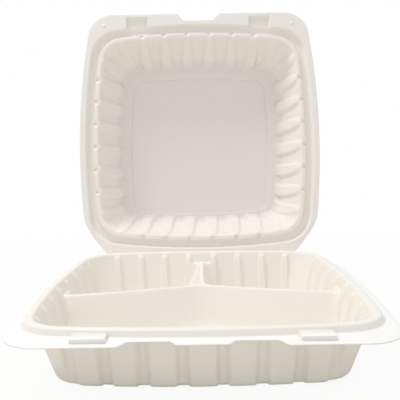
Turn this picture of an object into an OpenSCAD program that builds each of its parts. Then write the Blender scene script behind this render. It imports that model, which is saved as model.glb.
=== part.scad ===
// Hinged takeout container with three compartments, moulded in one piece and shown open.
// X runs to the right, Y to the back and Z up. The origin is the middle of the base.
// The tray stands on its base. The lid turns about the hinge line along the back flange.

/* [Plan of the rim] */
// Half the width of the rim, at the foot of its riser
riser_half = 109; // [90:1:130]
// Radius of the outward bow of each side
bow_r = 690; // [450:10:1500]
// Corner radius at the foot of the riser
corner_r = 28; // [24:1:36]
// Width of the flange outside the riser, at the sides
flange_side = 6; // [3:0.5:10]
// Distance from the riser to the hinge line, at the back
flange_back = 5; // [4:0.5:9]
// Distance from the riser to the front edge of the latch flange
flange_front = 11.6; // [10:0.2:16]
// Corner radius of the flange at the front
flange_corner_r = 24; // [16:1:32]
// How far the hinge line stops short of the riser's sides
hinge_cut = 21; // [17:1:40]
// How far the cut corners of the flange run forward of the hinge line
hinge_corner = 34; // [24:1:40]

/* [Walls] */
// Thickness of the moulded wall
wall = 0.6; // [0.4:0.1:1]
// Height of the tray's flange above the table
tray_h = 35; // [30:1:60]
// Depth of the lid above its flange
lid_h = 34; // [26:1:50]
// Inward slope of the tray's walls over their whole height
tray_draft = 8; // [5:0.5:12]
// Inward slope of the lid's walls over their whole height
lid_draft = 18; // [8:0.5:22]
// Height of the bead round the tray's rim
bead_h = 4; // [2.5:0.5:5.5]
// Width of the bead across its top
bead_w = 3; // [2:0.5:4]

/* [Flutes] */
// Distance from the last ridge of a side to the riser's corner
ridge_margin = 30.95; // [29:0.05:40]
// Ridges on each side
ridges = 8; // [4:1:8]
// How far a ridge stands into the compartment
ridge_d = 2.4; // [1:0.1:3]
// Half the width of a ridge at the rim
ridge_top = 1.5; // [1:0.1:3]
// Half the width of a ridge at the tray's floor
ridge_foot = 3.2; // [2:0.1:6]
// Half the width of a ridge at the lid's top
lid_ridge_foot = 5; // [2:0.1:6]

/* [Compartments] */
// Height of the dividers above the table
divider_h = 30; // [20:1:32]
// Half the width of a divider along its top
divider_top = 1.6; // [1.2:0.1:3]
// Half the width of a divider at the floor
divider_foot = 9; // [5:0.5:12]
// Where the two dividers meet, behind the middle
junction_y = 19.5; // [8:0.5:30]
// Where the ends of the cross divider meet the side walls
arm_end_y = -5; // [-8:0.5:6]

/* [Latch] */
// Distance of each latch from the side of the riser
latch_side = 49; // [42:1:60]
// Length of a latch boss along the front edge, at its foot
boss_l = 19.6; // [12:0.2:24]
// Height of a latch boss above the flange
boss_h = 2.6; // [1.5:0.1:3.5]
// Distance from the front edge of the flange to a latch boss
boss_edge = 5; // [4:0.2:7]
// Slope of the sides of the boss and of its pocket, as a width
latch_slope = 1.1; // [0.5:0.1:1.5]
// Clearance between a latch boss and its pocket in the lid
latch_gap = 0.6; // [0.4:0.1:1]
// Half the width of the thumb tab in the middle of the tray's front edge
tab_half = 13.4; // [8:0.2:16]
// How far the thumb tab stands back from the latch flange
tab_back = 2; // [0:0.2:4]
// How far the finger recesses beside the tab are cut back
recess_d = 7; // [4:0.2:9]
// Distance from a finger recess to the middle of the latch beside it
recess_latch = 21; // [17:1:26]
// Half the width of the thumb notch in the lid
notch_half = 14; // [8:0.2:18]
// Depth of the thumb notch in the lid
notch_d = 7; // [4:0.2:9]
// Distance of each spacing nub from the side of the riser
nub_side = 17; // [13:1:28]
// Distance of the spacing nubs from the front edge
nub_edge = 11.5; // [8:0.5:14]
// Diameter of a spacing nub
nub_d = 3.4; // [2:0.2:5]

/* [Lid panel] */
// Distance from the edge of the lid's top to its raised square panel
panel_edge = 12.4; // [8:0.2:40]
// Corner radius of the panel
panel_r = 9; // [4:1:16]
// How far the panel stands above the top of the lid
panel_h = 1; // [0.6:0.1:2]
// How far the panel lies towards the hinge
panel_shift = 4; // [0:0.5:6]

/* [Hinge and pose] */
// How far the lid is open, from closed at 0 to flat at 180
open_angle = 101.3; // [0:0.1:180]
// Gap between the two flanges when the container is closed
flange_gap = 0.8; // [0.6:0.1:1.2]
// Clearance between the lid and the tray's bead when closed
seat_gap = 0.5; // [0.4:0.1:0.8]
// Radius of the film along the hinge line
film_r = 0.3; // [0.2:0.05:0.35]
// Gap between the film and the edge of the lid's flange
film_gap = 0.35; // [0.3:0.05:0.5]

/* [Hidden] */

// The riser's outline is four bowed arcs joined by four corner arcs.
arc_shift = bow_r - riser_half;
corner_shrink = 0.55;
gather = 0.00000054;

// The same outline at an inset: corner radius, corner centre, end angle of a side, and
// the path lengths from the middle of a side to its end and to the corner's diagonal.
function r_at(inset) = corner_r - (inset < 0 ? 1 : corner_shrink)*inset;
function c_at(inset) =
    (sqrt(2*pow(bow_r - inset - r_at(inset), 2) - pow(arc_shift, 2)) - arc_shift)/2;
function turn_at(inset) = atan2(c_at(inset), c_at(inset) + arc_shift);
function side_at(inset) = (bow_r - inset)*turn_at(inset)*PI/180;
function corner_at(inset) = r_at(inset)*(90 - 2*turn_at(inset))*PI/180;
function diagonal_at(inset) = side_at(inset) + corner_at(inset)/2;

pitch = 2*(riser_half - ridge_margin)/(ridges - 1);
hinge_half = riser_half - hinge_cut;
latch_x = riser_half - latch_side;
recess_half = latch_x - recess_latch;
nub_x = riser_half - nub_side;
hinge_y = riser_half + flange_back;
hinge_z = tray_h + flange_gap/2;
edge_back = hinge_y - film_r - film_gap;
edge_front = -(riser_half + flange_front);
corner_steps = 7;
flank = 0.12;
round_fn = 32;

// Sections of the two shells, read from the flange inwards. Each entry is
// [inset from the riser, height, ridge depth, half ridge width, 1 below the shelves,
// share of the ridge depth in the corners].
crest_a = 1.9;
crest_b = crest_a + bead_w;
shoulder = crest_b + 1.3;
rim_in = shoulder + 0.9;
shelf_z = divider_h - tray_h;
foot_z = 4.6 - tray_h;

function inset_at(z) = rim_in + tray_draft*(0.5 - z)/(0.5 - foot_z);

tray_inside = [
    [0, 0, 0, ridge_top, 0, 0],
    [1, bead_h - 0.7, 0, ridge_top, 0, 0],
    [crest_a, bead_h, 0, ridge_top, 0, 0],
    [crest_b, bead_h, 0, ridge_top, 0, 0],
    [shoulder, bead_h - 0.9, 0.2*ridge_d, ridge_top, 0, 0],
    [rim_in, 0.5, 0.75*ridge_d, ridge_top, 0, 0],
    [inset_at(shelf_z + 0.1), shelf_z + 0.1, ridge_d, ridge_top + 0.3, 0, 0.1],
    [inset_at(shelf_z), shelf_z, ridge_d, ridge_top + 0.3, 1, 0.1],
    [inset_at(foot_z), foot_z, ridge_d, ridge_foot, 1, 0.8],
    [rim_in + tray_draft + 3.4, wall - tray_h, 0.8*ridge_d, ridge_foot, 1, 1],
    [rim_in + tray_draft + 11, wall - tray_h, 0, ridge_foot, 1, 0]
];
tray_outside = [
    [wall, -wall, 0, ridge_top, 0, 0],
    [1 + wall, bead_h - 0.7 - wall/2, 0, ridge_top, 0, 0],
    [crest_a + wall/2, bead_h - wall, 0, ridge_top, 0, 0],
    [crest_b - wall/2, bead_h - wall, 0, ridge_top, 0, 0],
    [shoulder - wall, bead_h - 0.9 - wall/2, 0.2*ridge_d, ridge_top, 0, 0],
    [rim_in - wall, 0.5, 0.75*ridge_d, ridge_top, 0, 0],
    [inset_at(shelf_z - wall + 0.1) - wall, shelf_z - wall + 0.1, ridge_d, ridge_top + 0.3, 0, 0.1],
    [inset_at(shelf_z - wall) - wall, shelf_z - wall, ridge_d, ridge_top + 0.3, 1, 0.1],
    [inset_at(foot_z) - wall, foot_z - wall/2, ridge_d, ridge_foot, 1, 0.8],
    [rim_in + tray_draft + 2.2, -tray_h, 0.8*ridge_d, ridge_foot, 1, 1],
    [rim_in + tray_draft + 10, -tray_h, 0, ridge_foot, 1, 0]
];

// The lid's heights are read from its flange, towards the top of the closed lid.
channel_z = bead_h + seat_gap;
channel_b = crest_b + 0.9;
lip_in = rim_in + 3.4;
panel_w = 2*(riser_half - lip_in - lid_draft - panel_edge);
lid_foot = lid_h - 3;

lid_inside = [
    [-seat_gap, 0, 0, ridge_top, 0, 0],
    [0.6, channel_z - 0.6, 0, ridge_top, 0, 0],
    [crest_a - 0.2, channel_z, 0, ridge_top, 0, 0],
    [channel_b, channel_z, 0, ridge_top, 0, 0],
    [lip_in - 1.6, 1.6, 0.1*ridge_d, ridge_top, 0, 0],
    [lip_in, 1.3, 0.4*ridge_d, ridge_top, 0, 0],
    [lip_in + 1, 3.2, 0.9*ridge_d, ridge_top, 0, 0],
    [lip_in + lid_draft - 1.6, lid_foot, ridge_d, lid_ridge_foot, 0, 0.8],
    [lip_in + lid_draft + 1.6, lid_h - wall, 0.8*ridge_d, lid_ridge_foot, 0, 1],
    [lip_in + lid_draft + 5, lid_h - wall, 0, lid_ridge_foot, 0, 0]
];
lid_outside = [
    [-seat_gap - wall, wall, 0, ridge_top, 0, 0],
    [0.6 - wall, channel_z - 0.3, 0, ridge_top, 0, 0],
    [crest_a - 0.4, channel_z + wall, 0, ridge_top, 0, 0],
    [channel_b + 0.4, channel_z + wall, 0, ridge_top, 0, 0],
    [lip_in - 1.2, 1.7 + wall, 0.1*ridge_d, ridge_top, 0, 0],
    [lip_in - 0.4, 1.5 + wall, 0.4*ridge_d, ridge_top, 0, 0],
    [lip_in + 0.5, 3.5, 0.9*ridge_d, ridge_top, 0, 0],
    [lip_in + lid_draft - 2.1, lid_foot + 0.3, ridge_d, lid_ridge_foot, 0, 0.8],
    [lip_in + lid_draft + 1, lid_h, 0.8*ridge_d, lid_ridge_foot, 0, 1],
    [lip_in + lid_draft + 4.5, lid_h, 0, lid_ridge_foot, 0, 0]
];

// The point at an inset and at path length q from the middle of side k, where side 0
// is the front and the sides are counted to the right.
function turned(p, k) = let (a = 90*k) [p.x*cos(a) - p.y*sin(a), p.x*sin(a) + p.y*cos(a)];
function angle_on(q, inset) =
    q <= side_at(inset)
        ? q/(bow_r - inset)*180/PI
        : turn_at(inset) + (q - side_at(inset))/r_at(inset)*180/PI;
function on_right(q, inset) =
    let (a = angle_on(q, inset), r = r_at(inset), c = c_at(inset))
        q <= side_at(inset)
            ? [(bow_r - inset)*sin(a), arc_shift - (bow_r - inset)*cos(a)]
            : [c + r*sin(a), -c - r*cos(a)];
function outline(k, q, inset) =
    let (p = on_right(abs(q), inset))
        turned([q < 0 ? -p.x : p.x, p.y], k);
function inwards(k, q, inset) =
    let (a = angle_on(abs(q), inset))
        turned([q < 0 ? sin(a) : -sin(a), cos(a)], k);

// Stations of one ring: [side, path length, share of the ridge depth]. Each ridge has two
// edges, and the flat hollow between two ridges starts at a share of the gap. The corners
// join the hollows at the rim and the ridges at the floor.
function is_filled(k, i, shelved) = shelved == 1 && k > 0 && abs(2*i + 2 - ridges) < 1;
function ridge_at(i, inset) =
    let (u = (i - (ridges - 1)/2)*pitch)
        u*(1 - gather*max(inset, 0)*u*u);
function ridge_end(inset, half) = min(ridge_at(ridges - 1, inset) + half, diagonal_at(inset) - 3.6);
function side_stations(k, inset, half, shelved) = [
    for (i = [0:ridges - 1])
        let (
            u = ridge_at(i, inset),
            gap = i < ridges - 1 ? ridge_at(i + 1, inset) - u - 2*half : 0
        )
            each concat(
                [
                    [k, i == 0 ? -ridge_end(inset, half) : u - half, 1],
                    [k, i == ridges - 1 ? ridge_end(inset, half) : u + half, 1]
                ],
                i < ridges - 1
                    ? [for (f = [flank, 1 - flank])
                        [k, u + half + f*gap, is_filled(k, i, shelved) ? 1 : 0]]
                    : []
            )
];
function corner_stations(k, inset, half, corner) =
    let (start = ridge_end(inset, half), span = 2*(diagonal_at(inset) - start))
        [for (i = [1:corner_steps - 1])
            let (q = start + span*i/corner_steps, past = 2*i > corner_steps)
                [past ? (k + 1)%4 : k, past ? q - 2*diagonal_at(inset) : q, corner]];
function stations(inset, half, shelved, corner) = [
    for (k = [0:3])
        each concat(side_stations(k, inset, half, shelved), corner_stations(k, inset, half, corner))
];

// The ring of points of one level.
function level_ring(level) = [
    for (s = stations(level[0], level[3], level[4], level[5]))
        let (
            in = inwards(s[0], s[1], level[0]),
            p = outline(s[0], s[1], level[0]) + in*level[2]*s[2]
        )
            [p.x, p.y, level[1]]
];

// The flange's edge. Its front is cut to a profile that is given as a function of x.
function tray_front(x) = edge_front + (
    x < tab_half ? tab_back :
    x < tab_half + 4 ? tab_back + (recess_d - tab_back)*(x - tab_half)/4 :
    x < recess_half ? recess_d :
    x < recess_half + 5 ? recess_d*(recess_half + 5 - x)/5 : 0);
function lid_front(x) = edge_front + (
    x < notch_half ? notch_d :
    x < notch_half + 7 ? notch_d*(notch_half + 7 - x)/7 : 0);

side_r = bow_r + flange_side;
front_cy = edge_front + flange_corner_r;
front_cx = sqrt(pow(side_r - flange_corner_r, 2) - pow(front_cy, 2)) - arc_shift;
front_turn = 90 + atan2(front_cy, front_cx + arc_shift);
cut_y = hinge_y - hinge_corner;
side_half = side_at(0);
corner_len = corner_at(0);
quarter = 2*diagonal_at(0);
side_end = bow_r*sin(turn_at(0));
function side_x(y) = sqrt(pow(side_r, 2) - y*y) - arc_shift;
function front_corner(t) = [
    front_cx + flange_corner_r*sin(t*front_turn),
    front_cy - flange_corner_r*cos(t*front_turn)
];
function bent(a, b, c, t) = (1 - t)*(1 - t)*a + 2*t*(1 - t)*b + t*t*c;
function back_corner(t) = bent(
    [side_x(cut_y), cut_y],
    [side_x(cut_y) - 3, hinge_y - 0.62*hinge_corner],
    [hinge_half, edge_back],
    t);

// The edge's point that belongs to the riser's point at path length r from the middle
// of the front side, on the right half.
function half_edge(r, is_lid) =
    r <= side_half ? let (x = outline(0, r, 0).x) [x, is_lid ? lid_front(x) : tray_front(x)]
    : r < side_half + corner_len ? front_corner((r - side_half)/corner_len)
    : r <= quarter + side_half ? let (y = outline(1, r - quarter, 0).y) [side_x(y), y]
    : r < quarter + side_half + corner_len
        ? back_corner((r - quarter - side_half)/corner_len)
    : [-outline(2, r - 2*quarter, 0).x*-hinge_half/side_end, edge_back];
function edge_ring(z, is_lid) = [
    for (s = stations(0, ridge_top, 0, 0))
        let (
            p = s[0]*quarter + s[1],
            r = p > 2*quarter ? p - 4*quarter : p,
            e = half_edge(abs(r), is_lid)
        )
            [r < 0 ? -e.x : e.x, e.y, z]
];

// A thin shell between an upper and a lower surface. Both are lists of rings that run
// from the common outer edge inwards to a smooth ring, which a flat face closes.
module shell(upper, lower) {
    n = len(upper[0]);
    a = len(upper);
    b = len(lower);
    function up(i, j) = i*n + j%n;
    function low(i, j) = (a + i)*n + j%n;
    strips = [for (i = [0:a - 2], j = [0:n - 1])
        each [[up(i, j), up(i + 1, j), up(i + 1, j + 1)], [up(i, j), up(i + 1, j + 1), up(i, j + 1)]]];
    under = [for (i = [0:b - 2], j = [0:n - 1])
        each [[low(i, j), low(i + 1, j + 1), low(i + 1, j)], [low(i, j), low(i, j + 1), low(i + 1, j + 1)]]];
    rim = [for (j = [0:n - 1])
        each [[up(0, j), low(0, j + 1), low(0, j)], [up(0, j), up(0, j + 1), low(0, j + 1)]]];
    floor_face = [[for (j = [n - 1:-1:0]) up(a - 1, j)]];
    base_face = [[for (j = [0:n - 1]) low(b - 1, j)]];
    polyhedron(
        points = concat([each each upper], [each each lower]),
        faces = concat(strips, under, rim, floor_face, base_face),
        convexity = 10);
}

// A solid through a list of sections, each the same number of points.
module lofted(sections) {
    n = len(sections[0]);
    m = len(sections);
    sides = [for (i = [0:m - 2], j = [0:n - 1])
        each [
            [i*n + j, (i + 1)*n + (j + 1)%n, i*n + (j + 1)%n],
            [i*n + j, (i + 1)*n + j, (i + 1)*n + (j + 1)%n]
        ]];
    first = [[for (j = [0:n - 1]) j]];
    last = [[for (j = [n - 1:-1:0]) (m - 1)*n + j]];
    polyhedron(
        points = [each each sections],
        faces = concat(sides, first, last),
        convexity = 4);
}

// Section of a divider, from one foot over the top to the other: [half width, height].
foot_top = foot_z + tray_h - wall/4;
function divider_section(skin) = [
    [divider_foot - skin, skin > 0 ? -1 : wall/2],
    [0.74*divider_foot - skin, foot_top - skin],
    [0.6*divider_foot - skin, 7 - skin],
    [divider_top - skin, divider_h - 1 - skin],
    [divider_top - 0.6 - skin/2, divider_h - skin]
];
function both_sides(half) = concat(
    half,
    [for (i = [len(half) - 1:-1:0]) [-half[i][0], half[i][1]]]
);
// The dividers end within the thickness of the tray's walls, which turn in at the foot.
function wall_at(z) = riser_half - inset_at(z - tray_h) - ridge_d + wall/2;
base_end = riser_half - rim_in - tray_draft - 2.8 - 0.8*ridge_d;
function end_at(z) = z >= foot_top ? wall_at(z) :
    base_end + (wall_at(foot_top) - base_end)*(z - wall/2)/(foot_top - wall/2);

// The cross divider bends back to the junction, from both side walls.
bend_power = 1.3;
cross_steps = 8;
function bend_y(s) = arm_end_y + (junction_y - arm_end_y)*pow(1 - abs(s), bend_power);
function cross_sections(skin) = [
    for (i = [-cross_steps:cross_steps])
        let (s = i/cross_steps)
            [for (p = both_sides(divider_section(skin)))
                [s*(end_at(p[1]) - 1.5*skin), bend_y(s) + p[0], p[1]]]
];
// The centre divider runs from the junction to the back wall.
function centre_sections(skin) = [
    for (s = [0, 1])
        [for (p = both_sides(divider_section(skin)))
            [-p[0], junction_y + s*(end_at(p[1]) - 1.5*skin - junction_y), p[1]]]
];
module dividers(skin) {
    lofted(cross_sections(skin));
    lofted(centre_sections(skin));
}

// A latch block with sloped sides. Its back follows the riser at an inset, from side x0
// to side x1 of the middle.
boss_front = edge_front + boss_edge;
function riser_y(x, inset) = arc_shift - sqrt(pow(bow_r - inset, 2) - x*x);
function block_section(grow, slope, inset, z) =
    let (x0 = latch_x - boss_l/2 - grow + slope, x1 = latch_x + boss_l/2 + grow - slope)
        [
            [x0, riser_y(x0, inset), z],
            [x0, boss_front - grow + slope, z],
            [x1, boss_front - grow + slope, z],
            [x1, riser_y(x1, inset), z]
        ];
module latch_block(grow, z_foot, z_top, inset_foot, inset_top) {
    lofted([
        block_section(grow, 0, inset_foot, z_foot),
        block_section(grow, latch_slope, inset_top, z_top)
    ]);
}
module on_both_latches() {
    children();
    mirror([1, 0, 0])
        children();
}

function panel_outline(grow) = [
    for (k = [0:3], i = [0:8])
        let (a = 90*k + 90*i/8, r = panel_r + grow, c = panel_w/2 - panel_r)
            [(k == 0 || k == 3 ? c : -c) + r*cos(a), (k < 2 ? c : -c) + r*sin(a)]
];
module panel(grow, z, h) {
    translate([0, panel_shift, z])
        linear_extrude(h)
            polygon(panel_outline(grow));
}

// The film stands on the tray's flange and holds the lid along the hinge line.
module hinge_film() {
    film_half = hinge_half - 1;
    translate([-film_half, hinge_y, hinge_z])
        rotate([0, 90, 0])
            cylinder(h = 2*film_half, r = film_r, $fn = round_fn);
    translate([-film_half, edge_back - wall, tray_h - wall])
        cube([2*film_half, hinge_y - edge_back + wall, wall/2]);
    translate([-film_half, hinge_y - film_r/2, tray_h - wall])
        cube([2*film_half, film_r, hinge_z - tray_h + wall]);
}

module formed_tray() {
    difference() {
        union() {
            translate([0, 0, tray_h])
                shell(
                    concat([edge_ring(0, false)], [for (l = tray_inside) level_ring(l)]),
                    concat([edge_ring(-wall, false)], [for (l = tray_outside) level_ring(l)]));
            dividers(0);
            on_both_latches()
                translate([0, 0, tray_h])
                    latch_block(0, -wall/2, boss_h, wall/2, 1.1);
        }
        dividers(wall);
    }
}

module tray() {
    color([0.93, 0.92, 0.9]) {
        resize([0, 0, tray_h + bead_h])
            formed_tray();
        hinge_film();
    }
}

// The lid in its closed place, with its flange at height 0.
module closed_lid() {
    nub_h = flange_gap - 0.2;
    pocket_h = boss_h - flange_gap + latch_gap;
    difference() {
        union() {
            shell(
                concat([edge_ring(wall, true)], [for (l = lid_outside) level_ring(l)]),
                concat([edge_ring(0, true)], [for (l = lid_inside) level_ring(l)]));
            on_both_latches()
                latch_block(latch_gap + wall, wall/2, pocket_h + wall, -0.7, 0);
            panel(wall, lid_h - wall/2, panel_h + wall/2);
        }
        on_both_latches()
            latch_block(latch_gap, -wall, pocket_h, 1.5, 1.5);
        panel(0, lid_h - 2*wall, panel_h + wall);
    }
    for (side = [-1, 1])
        translate([side*nub_x, edge_front + nub_edge, -nub_h])
            cylinder(h = nub_h + wall/2, d1 = 0.6*nub_d, d2 = nub_d, $fn = round_fn);
}

module lid() {
    color([0.95, 0.94, 0.92])
        translate([0, hinge_y, hinge_z])
            rotate([-open_angle, 0, 0])
                translate([0, -hinge_y, flange_gap/2])
                    closed_lid();
}

tray();
lid();
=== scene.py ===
import math

import bpy
import numpy as np
from mathutils import Matrix, Vector


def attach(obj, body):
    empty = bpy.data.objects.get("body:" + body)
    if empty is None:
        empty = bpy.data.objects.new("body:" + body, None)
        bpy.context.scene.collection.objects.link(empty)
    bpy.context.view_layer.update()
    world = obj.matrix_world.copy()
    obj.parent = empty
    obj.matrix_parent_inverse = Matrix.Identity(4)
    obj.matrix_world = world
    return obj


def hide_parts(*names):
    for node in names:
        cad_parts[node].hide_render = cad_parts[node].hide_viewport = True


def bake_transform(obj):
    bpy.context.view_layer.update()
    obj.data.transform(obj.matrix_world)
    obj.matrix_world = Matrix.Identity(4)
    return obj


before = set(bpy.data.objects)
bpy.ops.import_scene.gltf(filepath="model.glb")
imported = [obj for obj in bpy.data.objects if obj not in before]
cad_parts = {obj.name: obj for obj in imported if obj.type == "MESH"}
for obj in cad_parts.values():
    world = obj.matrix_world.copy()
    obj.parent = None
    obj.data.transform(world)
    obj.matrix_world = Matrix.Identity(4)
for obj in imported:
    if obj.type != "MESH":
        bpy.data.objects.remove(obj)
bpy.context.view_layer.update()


# The tray: the lower half of one moulding of white, mineral-filled polypropylene. It is
# thermoformed from a flat sheet, which runs from the flange over a bead, down the fluted
# walls and across the floor. It stands on its floor, and the lid hangs on its back edge.

# Sizes are in millimetres. An inset is a distance inwards from the foot of the bead. A place
# is a length along a side at the rim, from the side's middle. Side 0 is the front, 1 the
# right, 2 the back and 3 the left.

MM = 0.001
SHEET = 0.5
RISER_HALF = 109.0
BOW = 690.0
BOW_SHIFT = BOW - RISER_HALF
CORNER_R = 28.0
CORNER_SHRINK = 0.55


def corner_of(inset, radius=None):
    """A corner's radius and centre, the turn where a side ends, and the path to its middle."""
    inset = np.asarray(inset, float)
    if radius is None:
        radius = CORNER_R - np.where(inset < 0, 1.0, CORNER_SHRINK)*inset
    centre = (np.sqrt(2*(BOW - inset - radius)**2 - BOW_SHIFT**2) - BOW_SHIFT)/2
    turn = np.arctan2(centre, centre + BOW_SHIFT)
    middle = (BOW - inset)*turn + radius*(math.pi/2 - 2*turn)/2
    return radius, centre, turn, middle


def middle_of_corner(inset):
    return float(corner_of(inset)[3])


def turned_to_side(x, y, side):
    """Points of the front side, turned round to another side."""
    angle = np.asarray(side)*math.pi/2
    return np.stack([x*np.cos(angle) - y*np.sin(angle), x*np.sin(angle) + y*np.cos(angle)], -1)


def rim_point(side, q, inset, radius=None):
    """Points on the bowed outline at an inset, at a path length q from a side's middle."""
    q, inset = np.broadcast_arrays(np.asarray(q, float), np.asarray(inset, float))
    radius, centre, turn, _ = corner_of(inset, radius)
    along = (BOW - inset)*turn
    a = np.minimum(abs(q), along)/(BOW - inset)
    b = turn + np.maximum(abs(q) - along, 0)/radius
    on_side = abs(q) <= along
    x = np.where(on_side, (BOW - inset)*np.sin(a), centre + radius*np.sin(b))*np.sign(q)
    y = np.where(on_side, BOW_SHIFT - (BOW - inset)*np.cos(a), -centre - radius*np.cos(b))
    return turned_to_side(x, y, side)


def inward_at(side, q, inset):
    """Directions straight into the container, square to the outline."""
    radius, _, turn, _ = corner_of(inset)
    along = (BOW - inset)*turn
    a = np.minimum(abs(q), along)/(BOW - inset) + np.maximum(abs(q) - along, 0)/radius
    return turned_to_side(-np.sign(q)*np.sin(a), np.cos(a), side)


# The flutes: eight inward folds to a side, which gather towards its middle as they go down.

FLUTE_PITCH = 22.3
FLUTE_DEPTH = 2.6
FLUTES = (np.arange(8) - 3.5)*FLUTE_PITCH
FLUTED_HALF = 82.0
GATHER = 5.4e-7
HALF_SIDE = middle_of_corner(0)
SIDE_COLUMNS = 157
CORNER_COLUMNS = 10


def columns(front_places=()):
    """Side and place of every column of points, with a few more on the front side."""
    plain = np.concatenate([
        np.linspace(-HALF_SIDE, -FLUTED_HALF, CORNER_COLUMNS)[1:-1],
        np.linspace(-FLUTED_HALF, FLUTED_HALF, SIDE_COLUMNS),
        np.linspace(FLUTED_HALF, HALF_SIDE, CORNER_COLUMNS)[1:],
    ])
    sides, places = [], []
    for side in range(4):
        here = np.union1d(plain, front_places) if side == 0 and len(front_places) else plain
        sides.append(np.full(len(here), side))
        places.append(here)
    return np.concatenate(sides), np.concatenate(places)


def gathered(place, inset):
    """Path of a place at an inset, on the fluted part of a side, clear of its corners."""
    squeeze = GATHER*max(inset, 0.0)
    widest = FLUTED_HALF*(1 - squeeze*FLUTED_HALF**2)
    fit = min(1.0, 0.95*middle_of_corner(inset)/widest)
    return fit*place*(1 - squeeze*place**2)


def path_at(place, inset):
    """Path of any place at an inset, on the fluted part and round the corners."""
    end = gathered(FLUTED_HALF, inset)
    to_corner = (middle_of_corner(inset) - end)/(HALF_SIDE - FLUTED_HALF)
    round_corner = np.sign(place)*(end + (abs(place) - FLUTED_HALF)*to_corner)
    return np.where(abs(place) <= FLUTED_HALF, gathered(place, inset), round_corner)


def smooth(t):
    t = np.clip(t, 0, 1)
    return t*t*(3 - 2*t)


def flute_share(q, inset, half, flank, corner):
    """Share of the flutes' depth along a ring: 1 on a flute, and a part of it at the corners."""
    centres = gathered(FLUTES, inset)
    share = np.zeros_like(q)
    for centre in centres:
        share = np.maximum(share, 1 - smooth((abs(q - centre) - half)/flank))
    beyond = smooth((abs(q) - centres[-1])/2.0)
    return share + (1 - share)*corner*beyond


def ring(sides, places, inset, height, share=0.0, half=2.0, flank=2.2, corner=0.0, filled=0.0):
    """One ring of a shell. Filled brings the middle panes in to the flutes, except in front."""
    q = path_at(places, inset)
    fluted = flute_share(q, inset, half, flank, corner)
    middle_pane = (abs(places) < 0.5*FLUTE_PITCH) & (sides > 0)
    fluted = np.where(middle_pane, np.maximum(fluted, filled), fluted)
    pushed = (share*FLUTE_DEPTH*fluted)[:, None]
    here = rim_point(sides, q, inset) + inward_at(sides, q, inset)*pushed
    return np.column_stack([here, np.full(len(q), height)])


def rounded(corners, pulls, longest=3.0):
    """A profile through corner points, each eased over a length, with no long steps."""
    corners = [np.array(c, float) for c in corners]
    out = [corners[0]]
    for before, here, after, pull in zip(corners, corners[1:], corners[2:], pulls):
        start = here + (before - here)/np.linalg.norm(before - here)*pull
        end = here + (after - here)/np.linalg.norm(after - here)*pull
        for t in np.linspace(0, 1, 5 if pull < 2.5 else 7):
            out.append((1 - t)**2*start + 2*t*(1 - t)*here + t*t*end)
    out.append(corners[-1])
    steps = [out[0]]
    for a, b in zip(out, out[1:]):
        n = max(1, math.ceil(np.linalg.norm(b - a)/longest))
        steps += [a + (b - a)*k/n for k in range(1, n + 1)]
    return np.array(steps)


# The flange's edge: bowed sides, round front corners, and behind them a curve in to the
# straight hinge line. In front it has a latch flange, two finger recesses and a thumb tab.

EDGE_FRONT = -120.6
EDGE_BACK = 113.35
SIDE_BOW = BOW + 6.0
FRONT_R = 24.0
FRONT_CY = EDGE_FRONT + FRONT_R
FRONT_CX = math.sqrt((SIDE_BOW - FRONT_R)**2 - FRONT_CY**2) - BOW_SHIFT
FRONT_TURN = math.pi/2 + math.atan2(FRONT_CY, FRONT_CX + BOW_SHIFT)
HINGE_HALF = 88.0
CUT_Y = 80.0
CUT_END_Y = 92.9
TAB_BACK = 2.0
TAB_SIDE = (13.2, 17.6)
RECESS_DEPTH = 7.0
RECESS_SIDE = (38.4, 44.2)


def eased_step(x, start, end):
    return float(smooth((x - start)/(end - start)))


def tray_front(x):
    recess = (RECESS_DEPTH - TAB_BACK)*eased_step(x, *TAB_SIDE)
    return EDGE_FRONT + TAB_BACK + recess - RECESS_DEPTH*eased_step(x, *RECESS_SIDE)


def flange_side(y):
    return math.sqrt(SIDE_BOW**2 - y*y) - BOW_SHIFT


def edge_point(side, place, front):
    """The point of the flange's edge that belongs to a column."""
    path = side*2*HALF_SIDE + place
    path = path - 8*HALF_SIDE if path > 4*HALF_SIDE else path
    r = abs(path)
    turn = float(corner_of(0)[2])
    straight = BOW*turn
    bend = CORNER_R*(math.pi/2 - 2*turn)
    if r <= straight:
        x = BOW*math.sin(r/BOW)
        point = (x, front(x))
    elif r < straight + bend:
        a = (r - straight)/bend*FRONT_TURN
        point = (FRONT_CX + FRONT_R*math.sin(a), FRONT_CY - FRONT_R*math.cos(a))
    elif r <= 2*HALF_SIDE + straight:
        y = BOW*math.sin((r - 2*HALF_SIDE)/BOW)
        point = (flange_side(y), y)
    elif r < 2*HALF_SIDE + straight + bend:
        t = (r - 2*HALF_SIDE - straight)/bend
        a = (flange_side(CUT_Y), CUT_Y)
        b = (flange_side(CUT_Y) - 3, CUT_END_Y)
        c = (HINGE_HALF, EDGE_BACK)
        point = tuple((1 - t)**2*a[k] + 2*t*(1 - t)*b[k] + t*t*c[k] for k in range(2))
    else:
        x = BOW*math.sin((4*HALF_SIDE - r)/BOW)
        point = (x*HINGE_HALF/(BOW*math.sin(turn)), EDGE_BACK)
    return (math.copysign(point[0], path), point[1])


def flange_rows(edge, bead_foot, shares, height, edge_height):
    """Rows of the flat flange, from its eased edge to the bead."""
    rows = []
    for share in shares:
        flat = edge + (bead_foot[:, :2] - edge)*share
        rows.append(np.column_stack([flat, np.full(len(flat), height if share else edge_height)]))
    return rows


# The walls' profile, as insets and heights, and the rings that follow it. A shelf where the
# dividers meet the walls fills the panes there up to the flutes.

TRAY_H = 35.0
BEAD_TOP = 39
BEAD_INNER = 5.2
WALL_TOP = (7.2, 35.2)
WALL_FOOT = (15.9, 0.6)
SHELF_Z = [27.4, 28.2, 28.9, 29.5, 29.9, 30.2]
SHELF_SHARE = [1.0, 0.96, 0.84, 0.62, 0.34, 0.0]

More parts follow.
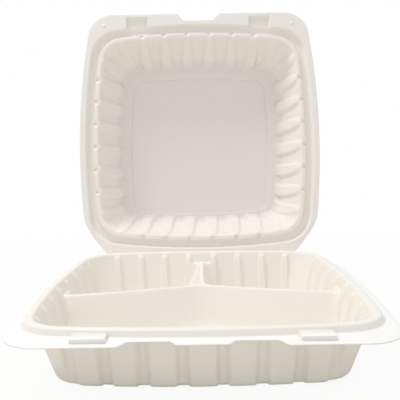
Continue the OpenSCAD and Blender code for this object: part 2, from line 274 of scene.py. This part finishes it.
tray_profile = rounded(
    [(-1.4, TRAY_H), (0, TRAY_H), (1.2, BEAD_TOP), (6.3, BEAD_TOP), WALL_TOP, WALL_FOOT,
     (21, WALL_FOOT[1])],
    [0.9, 1.2, 1.5, 1.8, 3.4])
WALL_RUN = (WALL_FOOT[0] - WALL_TOP[0])/(WALL_TOP[1] - WALL_FOOT[1])
shelf_profile = [(WALL_TOP[0] + (WALL_TOP[1] - z)*WALL_RUN, z) for z in SHELF_Z]
tray_profile = np.array(sorted(
    [tuple(p) for p in tray_profile] + shelf_profile, key=lambda p: (p[0], -p[1])))


def tray_ring(inset, z, sides, places):
    """One ring of the tray. The flutes start inside the bead and are deepest on the wall."""
    share = filled = 0.0
    if inset > BEAD_INNER:
        share = np.interp(z, [0.6, 4.6, 30, 35.2, 36.6, 38.0], [0.8, 1, 1, 0.8, 0.25, 0])
        filled = np.interp(z, SHELF_Z, SHELF_SHARE)
    half = np.interp(z, [4.6, 30, 35], [2.9, 2.0, 1.3])
    flank = np.interp(z, [4.6, 35], [1.3, 1.8])
    corner = np.interp(z, [0.6, 4.6, 30], [1.0, 0.8, 0.0])
    return ring(sides, places, inset, z, share, half, flank, corner, filled)


def sheet_of_rings(rings, upward=True):
    """Vertices and faces of a sheet of closed rings, closed by a fan at the middle."""
    n = len(rings[0])
    vertices = np.concatenate(rings)
    middle = len(vertices)
    vertices = np.vstack([vertices, rings[-1].mean(0)])
    faces = []
    for i in range(len(rings) - 1):
        for j in range(n):
            k = (j + 1) % n
            faces.append((i*n + j, i*n + k, (i + 1)*n + k, (i + 1)*n + j))
    last = (len(rings) - 1)*n
    faces += [(last + j, last + (j + 1) % n, middle) for j in range(n)]
    if not upward:
        faces = [f[::-1] for f in faces]
    return vertices, faces


tray_sides, tray_places = columns()
tray_edge = np.array([edge_point(s, p, tray_front) for s, p in zip(tray_sides, tray_places)])
bead_foot = ring(tray_sides, tray_places, *tray_profile[0])
tray_rings = flange_rows(tray_edge, bead_foot, (0, 0.04, 0.5), TRAY_H, TRAY_H - 0.12)
tray_rings += [tray_ring(inset, z, tray_sides, tray_places) for inset, z in tray_profile]
floor_edge = tray_rings[-1]
tray_rings += [floor_edge*[f, f, 1] for f in (0.8, 0.45, 0.05)]
tray_vertices, tray_faces = sheet_of_rings(tray_rings)


# The dividers: hollow ridges of the same sheet, pushed up from the tray's floor in the same
# draw. The cross divider bends back to a junction, the centre divider runs on from there,
# and all three ends run into the walls.

# Half width and height of a divider, from its crest down to where it meets the floor.
DIVIDER_PROFILE = [
    (0.0, 30.0), (0.5, 30.0), (0.9, 29.97), (1.25, 29.84), (1.5, 29.58), (1.7, 29.2),
    (2.4, 27.4), (3.8, 23.7), (5.35, 19.7), (6.9, 15.7), (8.45, 11.8), (10.0, 7.8),
    (11.1, 5.4), (12.4, 3.3), (14.0, 1.8), (16.0, 0.95), (18.0, 0.7), (19.0, 0.64),
]
JUNCTION_Y = 19.5
ARM_END_Y = -5.0
RUN_IN = 0.3


def wall_reach(place, z):
    """How far out the inner face of a side wall is, at a place along it and a height."""
    falling = tray_profile[tray_profile[:, 0] > BEAD_INNER][::-1]
    inset = np.interp(z, falling[:, 1], falling[:, 0])
    face = tray_ring(inset, z, np.ones(401), np.linspace(-FLUTED_HALF, FLUTED_HALF, 401))
    face = face[np.argsort(face[:, 1])]
    return np.interp(place, face[:, 1], face[:, 0])


def bend_y(share):
    """The cross divider's middle line, from its end at a wall to the junction."""
    return ARM_END_Y + (JUNCTION_Y - ARM_END_Y)*(1 - np.minimum(abs(share), 1))**1.3


def fillet(width):
    return 1.5 + 0.15*width


def flared(width, gap):
    """Width of a divider near a wall, where it spreads out into it along a fillet."""
    if not width:
        return width
    r = fillet(width)
    near = np.clip(r - gap, 0, r)
    return width + r - np.sqrt(r*r - near*near)


def eased(line, times):
    for _ in range(times):
        line = line.copy()
        line[1:-1] = 0.25*line[:-2] + 0.5*line[1:-1] + 0.25*line[2:]
    return line


def divider_rows(face):
    """Rows of one face of the dividers, from the crest down: 0 in front, -1 and 1 behind."""
    rows = []
    along = np.linspace(0, 1, 91)**0.8
    up = np.linspace(0, 1, 61)[1:]**0.8
    for width, z in DIVIDER_PROFILE:
        aside = width + fillet(width) if width else 0.0
        reach = wall_reach(ARM_END_Y + (aside if face else -aside), z) + RUN_IN
        if face == 0:
            x = reach*np.concatenate([-along[::-1], along[1:]])
            line = np.column_stack([x, bend_y(x/reach) - flared(width, reach - abs(x))])
        else:
            x = -width - (reach - width)*along[::-1]
            arm = np.column_stack([x, bend_y(x/reach) + flared(width, x + reach)])
            back = wall_reach(aside, z) + RUN_IN
            y = arm[-1, 1] + (back - arm[-1, 1])*up
            centre = np.column_stack([-flared(width, back - y)*np.ones(60), y])
            line = np.concatenate([arm, centre])
            line[:, 0] *= -face
        line = eased(line, int(round(min(width/1.5, 1)*14 + width*2.4)))
        rows.append(np.column_stack([line, np.full(len(line), z)]))
    return rows


def strip_faces(rows, first):
    """Faces of an open strip of rows, whose vertices are numbered from the first."""
    n = len(rows[0])
    return [
        (first + i*n + j, first + (i + 1)*n + j, first + (i + 1)*n + j + 1, first + i*n + j + 1)
        for i in range(len(rows) - 1) for j in range(n - 1)
    ]


for face in (0, -1, 1):
    rows = divider_rows(face)
    faces = strip_faces(rows, len(tray_vertices))
    tray_vertices = np.vstack([tray_vertices] + rows)
    tray_faces += [f[::-1] for f in faces] if face == -1 else faces


# The two latch bosses: hollow blocks with sloped sides, formed up from the tray's front
# flange in the same draw. They snap into the pockets of the lid.

BOSS_X = 59.6
BOSS_HALF = 9.4
BOSS_FRONT = -115.6
BOSS_BACK = -104.6
BOSS_R = 1.0
# How much wider a boss is at each side, how far its front stands out, and its height.
BOSS_LEVELS = [
    (0.5, 0.1, 35.0), (0.15, -0.15, 35.1), (0.0, -0.2, 35.4), (-0.1, 0.35, 37.1),
    (-0.25, 0.3, 37.42), (-0.5, 0.0, 37.56), (-1.0, -0.6, 37.62),
]


def boss_line(centre_x, grow, lean, z):
    """One level of a boss, from its right end round its front to its left end."""
    left, right = centre_x - BOSS_HALF - grow, centre_x + BOSS_HALF + grow
    front = BOSS_FRONT - lean
    line = [(right, BOSS_BACK, z)]
    for corner_x, start in ((right - BOSS_R, 0), (left + BOSS_R, -90)):
        for k in range(5):
            a = math.radians(start - 90*k/4)
            line.append((corner_x + BOSS_R*math.cos(a), front + BOSS_R + BOSS_R*math.sin(a), z))
    return np.array(line + [(left, BOSS_BACK, z)])


for centre_x in (-BOSS_X, BOSS_X):
    rows = [boss_line(centre_x, *level) for level in BOSS_LEVELS]
    first = len(tray_vertices)
    n = len(rows[0])
    top = first + (len(rows) - 1)*n
    tray_faces += strip_faces(rows, first) + [tuple(top + j for j in reversed(range(n)))]
    tray_vertices = np.vstack([tray_vertices] + rows)


# The sheet itself, now that the tray, its dividers and its bosses are drawn: satin white
# polypropylene, faintly mottled and grained. Its two colours, lighter at the flange, are
# fitted to the shading in the photograph and aren't measured from the material.

def make_sheet_skin():
    """Mottling, sheen and fine grain of formed sheet, as a mask, a roughness and a height."""
    group = bpy.data.node_groups.new("sheet_skin", "ShaderNodeTree")
    for name, value in (("Mottle size", 38.0), ("Grain size", 1100.0)):
        socket = group.interface.new_socket(
            name=name, in_out="INPUT", socket_type="NodeSocketFloat")
        socket.default_value = value
    for name in ("Mottle", "Roughness", "Height"):
        group.interface.new_socket(name=name, in_out="OUTPUT", socket_type="NodeSocketFloat")
    nodes, links = group.nodes, group.links
    inputs = nodes.new("NodeGroupInput")
    outputs = nodes.new("NodeGroupOutput")
    place = nodes.new("ShaderNodeTexCoord")

    mottle = nodes.new("ShaderNodeTexNoise")
    mottle.inputs["Detail"].default_value = 3.0
    mottle.inputs["Roughness"].default_value = 0.55
    links.new(place.outputs["Object"], mottle.inputs["Vector"])
    links.new(inputs.outputs["Mottle size"], mottle.inputs["Scale"])
    links.new(mottle.outputs["Fac"], outputs.inputs["Mottle"])

    sheen = nodes.new("ShaderNodeMapRange")
    sheen.inputs["From Min"].default_value = 0.3
    sheen.inputs["From Max"].default_value = 0.7
    sheen.inputs["To Min"].default_value = 0.38
    sheen.inputs["To Max"].default_value = 0.5
    links.new(mottle.outputs["Fac"], sheen.inputs["Value"])
    links.new(sheen.outputs["Result"], outputs.inputs["Roughness"])

    grain = nodes.new("ShaderNodeTexNoise")
    grain.inputs["Detail"].default_value = 2.0
    links.new(place.outputs["Object"], grain.inputs["Vector"])
    links.new(inputs.outputs["Grain size"], grain.inputs["Scale"])
    ripple = nodes.new("ShaderNodeTexNoise")
    ripple.inputs["Scale"].default_value = 14.0
    ripple.inputs["Detail"].default_value = 1.0
    links.new(place.outputs["Object"], ripple.inputs["Vector"])
    height = nodes.new("ShaderNodeMath")
    height.operation = "MULTIPLY_ADD"
    height.inputs[1].default_value = 0.06
    links.new(grain.outputs["Fac"], height.inputs[0])
    links.new(ripple.outputs["Fac"], height.inputs[2])
    links.new(height.outputs["Value"], outputs.inputs["Height"])
    return group


sheet_skin = make_sheet_skin()


def white_polypropylene(name, level_colour, away_colour, draw, level, start, end, flat=False):
    """Colours of the sheet at a level and away from it.

    The distance from the level is measured along the draw. With flat, only faces that lie
    square to the draw keep the colour of the level.
    """
    material = bpy.data.materials.new(name)
    material.use_nodes = True
    nodes, links = material.node_tree.nodes, material.node_tree.links
    shader = nodes["Principled BSDF"]
    shader.inputs["IOR"].default_value = 1.49
    skin = nodes.new("ShaderNodeGroup")
    skin.node_tree = sheet_skin
    skin.inputs["Mottle size"].default_value = 38.0
    skin.inputs["Grain size"].default_value = 1100.0

    place = nodes.new("ShaderNodeTexCoord")
    depth = nodes.new("ShaderNodeVectorMath")
    depth.operation = "DOT_PRODUCT"
    depth.inputs[1].default_value = draw
    off_level = nodes.new("ShaderNodeMath")
    off_level.operation = "SUBTRACT"
    off_level.inputs[1].default_value = level
    away = nodes.new("ShaderNodeMath")
    away.operation = "ABSOLUTE"
    from_level = nodes.new("ShaderNodeMapRange")
    from_level.interpolation_type = "SMOOTHSTEP"
    from_level.inputs["From Min"].default_value = start
    from_level.inputs["From Max"].default_value = end
    links.new(place.outputs["Object"], depth.inputs[0])
    links.new(depth.outputs["Value"], off_level.inputs[0])
    links.new(off_level.outputs["Value"], away.inputs[0])
    links.new(away.outputs["Value"], from_level.inputs["Value"])
    share = from_level.outputs["Result"]

    # Painted highlight: faces that lean away from square to the draw take the colour away from
    # the level, so only faces turned up to the lamp keep the colour of the level.
    if flat:
        surface = nodes.new("ShaderNodeNewGeometry")
        facing = nodes.new("ShaderNodeVectorMath")
        facing.operation = "DOT_PRODUCT"
        facing.inputs[1].default_value = draw
        leaning = nodes.new("ShaderNodeMapRange")
        leaning.inputs["From Min"].default_value = 0.95
        leaning.inputs["From Max"].default_value = 0.7
        larger = nodes.new("ShaderNodeMath")
        larger.operation = "MAXIMUM"
        links.new(surface.outputs["Normal"], facing.inputs[0])
        links.new(facing.outputs["Value"], leaning.inputs["Value"])
        links.new(leaning.outputs["Result"], larger.inputs[0])
        links.new(share, larger.inputs[1])
        share = larger.outputs["Value"]

    centred = nodes.new("ShaderNodeMath")
    centred.operation = "SUBTRACT"
    centred.inputs[1].default_value = 0.5
    mottled = nodes.new("ShaderNodeMath")
    mottled.operation = "MULTIPLY_ADD"
    mottled.inputs[1].default_value = 0.3
    mottled.use_clamp = True
    tint = nodes.new("ShaderNodeMix")
    tint.data_type = "RGBA"
    tint.inputs["A"].default_value = (*level_colour, 1)
    tint.inputs["B"].default_value = (*away_colour, 1)
    links.new(skin.outputs["Mottle"], centred.inputs[0])
    links.new(centred.outputs["Value"], mottled.inputs[0])
    links.new(share, mottled.inputs[2])
    links.new(mottled.outputs["Value"], tint.inputs["Factor"])
    links.new(tint.outputs["Result"], shader.inputs["Base Color"])
    links.new(skin.outputs["Roughness"], shader.inputs["Roughness"])

    bump = nodes.new("ShaderNodeBump")
    bump.inputs["Strength"].default_value = 0.25
    bump.inputs["Distance"].default_value = 0.0006
    links.new(skin.outputs["Height"], bump.inputs["Height"])
    links.new(bump.outputs["Normal"], shader.inputs["Normal"])
    return material


def formed_sheet(name, vertices, faces, material, thickness=SHEET, weld=0.0):
    """A smooth sheet with its thickness behind the given face."""
    mesh = bpy.data.meshes.new(name)
    mesh.from_pydata([tuple(v) for v in np.asarray(vertices)*MM], [], faces)
    mesh.validate()
    mesh.shade_smooth()
    mesh.materials.append(material)
    piece = bpy.data.objects.new(name, mesh)
    bpy.context.scene.collection.objects.link(piece)
    if weld:
        join = piece.modifiers.new("join", "WELD")
        join.merge_threshold = weld*MM
    solid = piece.modifiers.new("sheet thickness", "SOLIDIFY")
    solid.thickness = thickness*MM
    solid.offset = -1.0
    solid.use_even_offset = False
    solid.use_quality_normals = True
    return piece


# Painted light and shade: the lighter colour stays on faces that lie flat and face up near the
# flange's level, where the lamp falls, and the darker, warmer one is painted on the bead, the
# walls, the floor and the dividers.
tray_sheet = white_polypropylene(
    "tray_sheet", level_colour=(0.985, 0.97, 0.945), away_colour=(0.945, 0.897, 0.825),
    draw=(0, 0, 1), level=0.0363, start=0.0016, end=0.0022, flat=True)
tray = formed_sheet("tray_sheet", tray_vertices, tray_faces, tray_sheet, weld=0.002)
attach(tray, "tray")
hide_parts("tray")


# The lid: the upper half of the same moulding, in the same white polypropylene. Its flange
# has a thumb notch and a channel for the tray's bead, then come a return ridge, the fluted
# walls and the flat top. It is drawn closed, and stands open on the hinge line.

OPEN = math.radians(101.3)
HINGE_Y = 114.0
HINGE_Z = 35.4
LID_GAP = 0.4
LID_DEPTH = 33.4
CHANNEL_DEPTH = 4.7
RETURN_Z = 1.3
NOTCH_DEPTH = 7.0
NOTCH_SIDE = (13.6, 21.4)


def opened(points):
    """Turns points of the closed lid, with heights from its flange, about the hinge line."""
    x, y, w = points[:, 0], points[:, 1] - HINGE_Y, points[:, 2] + LID_GAP
    c, s = math.cos(-OPEN), math.sin(-OPEN)
    return np.column_stack([x, HINGE_Y + y*c - w*s, HINGE_Z + y*s + w*c])


def lid_front(x):
    return EDGE_FRONT + NOTCH_DEPTH*(1 - eased_step(x, *NOTCH_SIDE))


def lid_ring(inset, w, sides, places):
    """One ring of the lid. Where a flute runs into the return ridge, it dents the ridge."""
    on_wall = inset > 10
    share = np.interp(
        inset, [8.0, 8.9, 10.5, 12, 17, 26, 29, 32.5], [0, 0.1, 0.35, 0.7, 1, 1.3, 1.0, 0])
    half = np.interp(w, [1.3, 4, 8, 17, 33], [0.6, 2.1, 3.1, 3.9, 4.5]) if on_wall else 0.6
    flank = np.interp(w, [2, 31], [2.6, 2.8])
    corner = np.interp(w, [4, 31], [0.0, 0.8]) if on_wall else 0.0
    row = ring(sides, places, inset, w, share, half, flank, corner)
    if 6 < inset < 11:
        q = path_at(places, inset)
        for centre in gathered(FLUTES[1:-1], inset):
            dent = np.exp(-((q - centre)/1.8)**2 - ((inset - 7.8)/1.3)**2)
            row[:, 2] = np.maximum(row[:, 2], RETURN_Z + 2.6*dent)
    return row


lid_profile = rounded(
    [(-1.6, 0), (-0.4, 0), (1.0, CHANNEL_DEPTH), (6.3, CHANNEL_DEPTH), (7.3, RETURN_Z),
     (11.2, RETURN_Z), (15.6, 12.0), (28.4, LID_DEPTH), (33.0, LID_DEPTH)],
    [0.8, 1.1, 1.0, 0.8, 1.2, 4.0, 4.4], longest=3.6)
pocket_edges = [49.0, 49.4, 49.8, 50.2, 50.6, 51.0, 68.9, 69.3, 69.7, 70.1, 70.5, 70.9]
pocket_edges = np.array([-p for p in pocket_edges] + pocket_edges)
lid_sides, lid_places = columns(pocket_edges)
lid_edge = np.array([edge_point(s, p, lid_front) for s, p in zip(lid_sides, lid_places)])
channel_foot = ring(lid_sides, lid_places, *lid_profile[0])
lid_rings = flange_rows(
    lid_edge, channel_foot, (0, 0.04, 0.2, 0.3, 0.36, 0.4, 0.44, 0.48, 0.54, 0.7, 0.86),
    0.0, 0.12)
lid_rings += [lid_ring(inset, w, lid_sides, lid_places) for inset, w in lid_profile]


# The lid's panel: a rounded square of the same sheet, pushed out of the lid's top in the
# draw, with a soft border.

PANEL_STEP = 2.2
PANEL_INSET = 39.3
PANEL_R = 11.0
PANEL_SHIFT = 4.3
TOP_INSET = 33.0


def panel_ring(grow, w):
    radius = PANEL_R + grow
    inset = PANEL_INSET - grow
    q = path_at(lid_places, TOP_INSET)*float(corner_of(inset, radius)[3]/corner_of(TOP_INSET)[3])
    here = rim_point(lid_sides, q, inset, radius)
    return np.column_stack([here[:, 0], here[:, 1] + PANEL_SHIFT, np.full(len(q), w)])


for grow, step in ((0.6, 0), (0.4, 0.04), (0.25, 0.18), (0, 0.84), (-0.15, 0.97), (-0.4, 1)):
    lid_rings.append(panel_ring(grow, LID_DEPTH + PANEL_STEP*step))
panel_edge = lid_rings[-1]
lid_rings += [panel_edge*[f, f, 1] for f in (0.6, 0.2)]


# The latch pockets: two recesses, formed in the lid's front flange in the same draw, which
# run back into the channel. They take the tray's bosses.

POCKET_DEPTH = 2.9
POCKET_START = 49.5
POCKET_END = 70.5
POCKET_FRONT = -116.9
POCKET_END_SLOPE = 1.1
POCKET_FRONT_SLOPE = 1.3
CHANNEL_Y = -104.0

for row in lid_rings:
    x, y = abs(row[:, 0]), row[:, 1]
    from_ends = np.minimum(x - POCKET_START, POCKET_END - x)
    inside = np.minimum(from_ends/POCKET_END_SLOPE, (y - POCKET_FRONT)/POCKET_FRONT_SLOPE)
    on_flange = (y < CHANNEL_Y) & (row[:, 2] < POCKET_DEPTH)
    pressed = np.maximum(row[:, 2], POCKET_DEPTH*smooth(inside))
    row[:, 2] = np.where(on_flange, pressed, row[:, 2])

lid_vertices, lid_faces = sheet_of_rings(lid_rings, upward=False)


# The spacing nubs: two small domes of the same sheet, formed in the lid's flange near its
# front corners. They keep the closed flanges apart.

NUB_X = 92.0
NUB_Y = -109.3

for centre_x in (-NUB_X, NUB_X):
    first = len(lid_vertices)
    angle = np.linspace(0, 2*math.pi, 25)[:-1]
    rings = [
        np.column_stack([centre_x + r*np.cos(angle), NUB_Y + r*np.sin(angle), np.full(24, w)])
        for r, w in ((2.1, 0.05), (1.85, -0.02), (1.55, -0.3), (1.1, -0.55), (0.55, -0.68))
    ]
    nub_vertices, nub_faces = sheet_of_rings(rings, upward=False)
    lid_vertices = np.vstack([lid_vertices, nub_vertices])
    lid_faces += [tuple(first + i for i in f) for f in nub_faces]

# The lid is the same plastic as the tray. Its darker, pinker colours stand in for shading
# that the photograph has and this plain light doesn't give.
lid_sheet = white_polypropylene(
    "lid_sheet", level_colour=(0.915, 0.865, 0.805), away_colour=(0.85, 0.785, 0.75),
    draw=(0, math.sin(OPEN), math.cos(OPEN)), level=0.105, start=0.025, end=0.033)
lid = formed_sheet("lid_sheet", opened(lid_vertices), lid_faces, lid_sheet)
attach(lid, "lid")
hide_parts("lid")


# The living hinge: a line where the same sheet is pressed thin, drawn as one fixed strip
# bowed as with the lid open. It joins the back edge of the tray's flange to the edge of the lid's
# flange.

FILM = 0.3
FILM_HALF = 87.5
FILM_BULGE = np.array([0, 0.55, -0.25])

tray_end = np.array([0, EDGE_BACK, TRAY_H - 0.2])
lid_end = opened(np.array([[0, EDGE_BACK, 0.15]]))[0]
film_section = [
    tray_end + (lid_end - tray_end)*t + FILM_BULGE*4*t*(1 - t) for t in np.linspace(0, 1, 13)
]
film_rows = np.array([
    [(x, p[1], p[2]) for p in film_section] for x in np.linspace(-FILM_HALF, FILM_HALF, 60)])
hinge_sheet = white_polypropylene(
    "hinge_sheet", level_colour=(0.95, 0.92, 0.88), away_colour=(0.93, 0.89, 0.84),
    draw=(0, 0, 1), level=0.035, start=0.0, end=0.002)
hinge = formed_sheet(
    "living_hinge", np.concatenate(film_rows), strip_faces(list(film_rows), 0), hinge_sheet,
    thickness=FILM)
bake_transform(hinge)


# The studio table: matt white paper, laid out flat. It glows for the camera alone, so that
# the background is white and the shadow under the tray stays. It lies a millimetre low,
# because the lid's top comes down that far when the lid is laid open all the way.

TABLE_Z = -1.15*MM

table_mesh = bpy.data.meshes.new("table")
table_mesh.from_pydata(
    [(-3, -3, TABLE_Z), (3, -3, TABLE_Z), (3, 5, TABLE_Z), (-3, 5, TABLE_Z)], [], [(0, 1, 2, 3)])
table = bpy.data.objects.new("table", table_mesh)
bpy.context.scene.collection.objects.link(table)
table_paper = bpy.data.materials.new("table_paper")
table_paper.use_nodes = True
nodes, links = table_paper.node_tree.nodes, table_paper.node_tree.links
paper = nodes["Principled BSDF"]
paper.inputs["Base Color"].default_value = (0.88, 0.86, 0.8, 1)
paper.inputs["Roughness"].default_value = 0.9
glow = nodes.new("ShaderNodeEmission")
glow.inputs["Color"].default_value = (1, 1, 1, 1)
glow.inputs["Strength"].default_value = 1.0
ray = nodes.new("ShaderNodeLightPath")
spot = nodes.new("ShaderNodeNewGeometry")
distance = nodes.new("ShaderNodeVectorMath")
distance.operation = "LENGTH"
whiter = nodes.new("ShaderNodeMapRange")
whiter.interpolation_type = "SMOOTHSTEP"
whiter.inputs["From Min"].default_value = 0.15
whiter.inputs["From Max"].default_value = 0.6
whiter.inputs["To Min"].default_value = 0.92
whiter.inputs["To Max"].default_value = 1.0
seen_share = nodes.new("ShaderNodeMath")
seen_share.operation = "MULTIPLY"
seen = nodes.new("ShaderNodeMixShader")
links.new(spot.outputs["Position"], distance.inputs[0])
links.new(distance.outputs["Value"], whiter.inputs["Value"])
links.new(ray.outputs["Is Camera Ray"], seen_share.inputs[0])
links.new(whiter.outputs["Result"], seen_share.inputs[1])
links.new(seen_share.outputs["Value"], seen.inputs["Fac"])
links.new(paper.outputs["BSDF"], seen.inputs[1])
links.new(glow.outputs["Emission"], seen.inputs[2])
links.new(seen.outputs["Shader"], nodes["Material Output"].inputs["Surface"])
table_mesh.materials.append(table_paper)


# The light: a pale, slightly cool studio all round, which the camera sees as plain white,
# and one soft lamp hung above the container, at the left.

world = bpy.data.worlds.new("studio")
bpy.context.scene.world = world
world.use_nodes = True
nodes, links = world.node_tree.nodes, world.node_tree.links
soft = nodes["Background"]
soft.inputs["Color"].default_value = (0.95, 0.97, 1.0, 1)
soft.inputs["Strength"].default_value = 0.755
white = nodes.new("ShaderNodeBackground")
white.inputs["Color"].default_value = (1, 1, 1, 1)
white.inputs["Strength"].default_value = 1.0
ray = nodes.new("ShaderNodeLightPath")
either = nodes.new("ShaderNodeMath")
either.operation = "MAXIMUM"
seen = nodes.new("ShaderNodeMixShader")
links.new(ray.outputs["Is Camera Ray"], either.inputs[0])
links.new(ray.outputs["Is Transmission Ray"], either.inputs[1])
links.new(either.outputs["Value"], seen.inputs["Fac"])
links.new(soft.outputs["Background"], seen.inputs[1])
links.new(white.outputs["Background"], seen.inputs[2])
links.new(seen.outputs["Shader"], nodes["World Output"].inputs["Surface"])

SOFTBOX_PLACE = (-0.46, 0.06, 1.2)
SOFTBOX_AIM = (0, 0.05, 0.05)

softbox = bpy.data.lights.new("key_softbox", "AREA")
softbox.shape = "DISK"
softbox.size = 0.35
softbox.energy = 5.7
softbox.color = (1.0, 0.995, 0.98)
softbox_stand = bpy.data.objects.new("key_softbox", softbox)
bpy.context.scene.collection.objects.link(softbox_stand)
softbox_stand.location = SOFTBOX_PLACE
beam = Vector(SOFTBOX_AIM) - Vector(SOFTBOX_PLACE)
softbox_stand.rotation_euler = beam.to_track_quat("-Z", "Y").to_euler()


# The camera stands where the photograph was taken from: in front of the latch, 134 mm above
# the table, looking a little down, with a slight roll.

CAMERA_PLACE = (-0.00049, -0.3798, 0.13375)
LOOK_DOWN = math.radians(5.57)
ROLL = math.radians(-0.82)
FOCAL_PIXELS = 533.9
PICTURE_PIXELS = 400.0
SENSOR = 36.0

forward = Vector((0, math.cos(LOOK_DOWN), -math.sin(LOOK_DOWN)))
right = Vector((1, 0, 0))
up = right.cross(forward)
right_rolled = right*math.cos(ROLL) + up*math.sin(ROLL)
up_rolled = up*math.cos(ROLL) - right*math.sin(ROLL)
lens = bpy.data.cameras.new("camera")
lens.sensor_width = SENSOR
lens.lens = FOCAL_PIXELS*SENSOR/PICTURE_PIXELS
lens.clip_start = 0.01
camera = bpy.data.objects.new("camera", lens)
bpy.context.scene.collection.objects.link(camera)
view = Matrix((right_rolled, up_rolled, -forward)).transposed().to_4x4()
view.translation = Vector(CAMERA_PLACE)
camera.matrix_world = view
bpy.context.scene.camera = camera
bpy.context.scene.view_settings.view_transform = "Standard"
